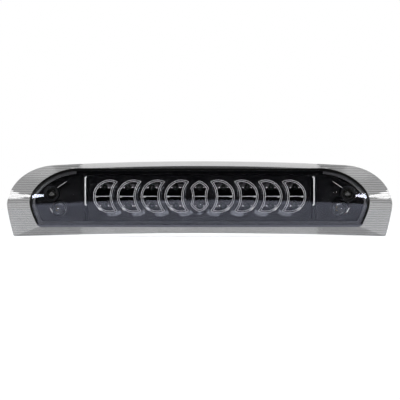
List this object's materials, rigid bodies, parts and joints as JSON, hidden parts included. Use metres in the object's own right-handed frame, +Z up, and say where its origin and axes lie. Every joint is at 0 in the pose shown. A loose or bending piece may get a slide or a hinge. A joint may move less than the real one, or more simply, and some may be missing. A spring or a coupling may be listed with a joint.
{
  "type": "third brake light",
  "caption": "High-mount brake light for a vehicle cab: wide smoked lens over a row of round LED cups, with a cargo lamp and a screw tunnel at each end.",
  "frame": {"origin": "middle of the lamp's width, on the plane where the gasket and the screw bosses meet the cab panel, 44.2 mm below the top edge of the lens and 38 mm above the middle of its bottom edge", "axes": "+X to the right as the lamp is seen from behind the vehicle, +Y into the cab along the screws, +Z up"},
  "size_m": [0.44, 0.0649, 0.0857],
  "materials": {
    "lens_plastic": "smoked clear polycarbonate, polished face, finely ribbed ends",
    "housing_black": "black moulded ABS, fine satin grain",
    "gasket_foam": "closed-cell foam",
    "dark_chrome": "smoked vacuum-metallised plastic",
    "gloss_black": "gloss black ABS",
    "baffle_grey": "clear-grey polished plastic",
    "led_epoxy": "water-clear epoxy",
    "board_laminate": "green solder mask over glass laminate",
    "resistor_body": "tan lacquered ceramic",
    "component_black": "black moulded epoxy",
    "zinc_steel": "bright zinc plate",
    "black_rubber": "moulded rubber",
    "seal_rubber": "orange-brown silicone",
    "holder_nylon": "grey glass-filled nylon",
    "contact_brass": "stamped spring brass",
    "bulb_glass": "clear glass"
  },
  "bodies": {
    "lamp_body": {"lens": "lens_plastic", "housing": "housing_black", "gasket": "gasket_foam", "led_reflector": "dark_chrome", "led_board": "board_laminate", "rectifier_diode": "component_black", "wire_grommet": "black_rubber", "divider_left": "baffle_grey", "divider_right": "baffle_grey", "cargo_reflector_left": "gloss_black", "cargo_reflector_right": "gloss_black", "screw_sleeve_left": "gloss_black", "screw_sleeve_right": "gloss_black", "led_01": "led_epoxy", "led_02": "led_epoxy", "led_03": "led_epoxy", "led_04": "led_epoxy", "led_05": "led_epoxy", "led_06": "led_epoxy", "led_07": "led_epoxy", "led_08": "led_epoxy", "led_09": "led_epoxy", "led_10": "led_epoxy", "led_11": "led_epoxy", "led_12": "led_epoxy", "led_13": "led_epoxy", "led_14": "led_epoxy", "led_15": "led_epoxy", "led_16": "led_epoxy", "led_17": "led_epoxy", "led_18": "led_epoxy", "resistor_1": "resistor_body", "resistor_2": "resistor_body", "resistor_3": "resistor_body", "resistor_4": "resistor_body", "resistor_5": "resistor_body", "resistor_6": "resistor_body", "board_screw_1": "zinc_steel", "board_screw_2": "zinc_steel", "board_screw_3": "zinc_steel", "board_screw_4": "zinc_steel"},
    "screw_travel_left": {"screw_washer_left": "black_rubber"},
    "screw_left": {"mounting_screw_left": "zinc_steel"},
    "bulb_socket_left": {"bulb_holder_left": "holder_nylon", "holder_seal_left": "seal_rubber", "cargo_bulb_left": "bulb_glass", "bulb_contact_left_lower": "contact_brass", "bulb_contact_left_upper": "contact_brass"},
    "screw_travel_right": {"screw_washer_right": "black_rubber"},
    "screw_right": {"mounting_screw_right": "zinc_steel"},
    "bulb_socket_right": {"bulb_holder_right": "holder_nylon", "holder_seal_right": "seal_rubber", "cargo_bulb_right": "bulb_glass", "bulb_contact_right_lower": "contact_brass", "bulb_contact_right_upper": "contact_brass"}
  },
  "joints": [
    {"name": "screw_left_back_out", "type": "slide", "parent": "lamp_body", "child": "screw_travel_left", "axis": [0, -1, 0], "range_m": [0, 0.01]},
    {"name": "screw_left_turn", "type": "hinge", "parent": "screw_travel_left", "child": "screw_left", "pos_m": [-0.1688, 0, 0.0071], "axis": [0, -1, 0], "range_deg": [0, 2251]},
    {"name": "bulb_socket_left_twist", "type": "hinge", "parent": "lamp_body", "child": "bulb_socket_left", "pos_m": [-0.16, 0, -0.01], "axis": [0, 1, 0], "range_deg": [0, 45]},
    {"name": "screw_right_back_out", "type": "slide", "parent": "lamp_body", "child": "screw_travel_right", "axis": [0, -1, 0], "range_m": [0, 0.01]},
    {"name": "screw_right_turn", "type": "hinge", "parent": "screw_travel_right", "child": "screw_right", "pos_m": [0.1688, 0, 0.0071], "axis": [0, -1, 0], "range_deg": [0, 2251]},
    {"name": "bulb_socket_right_twist", "type": "hinge", "parent": "lamp_body", "child": "bulb_socket_right", "pos_m": [0.16, 0, -0.01], "axis": [0, 1, 0], "range_deg": [0, 45]}
  ],
  "couplings": [
    {"joint": "screw_left_turn", "follows": "screw_left_back_out", "rad_per_m": 3927},
    {"joint": "screw_right_turn", "follows": "screw_right_back_out", "rad_per_m": 3927}
  ]
}
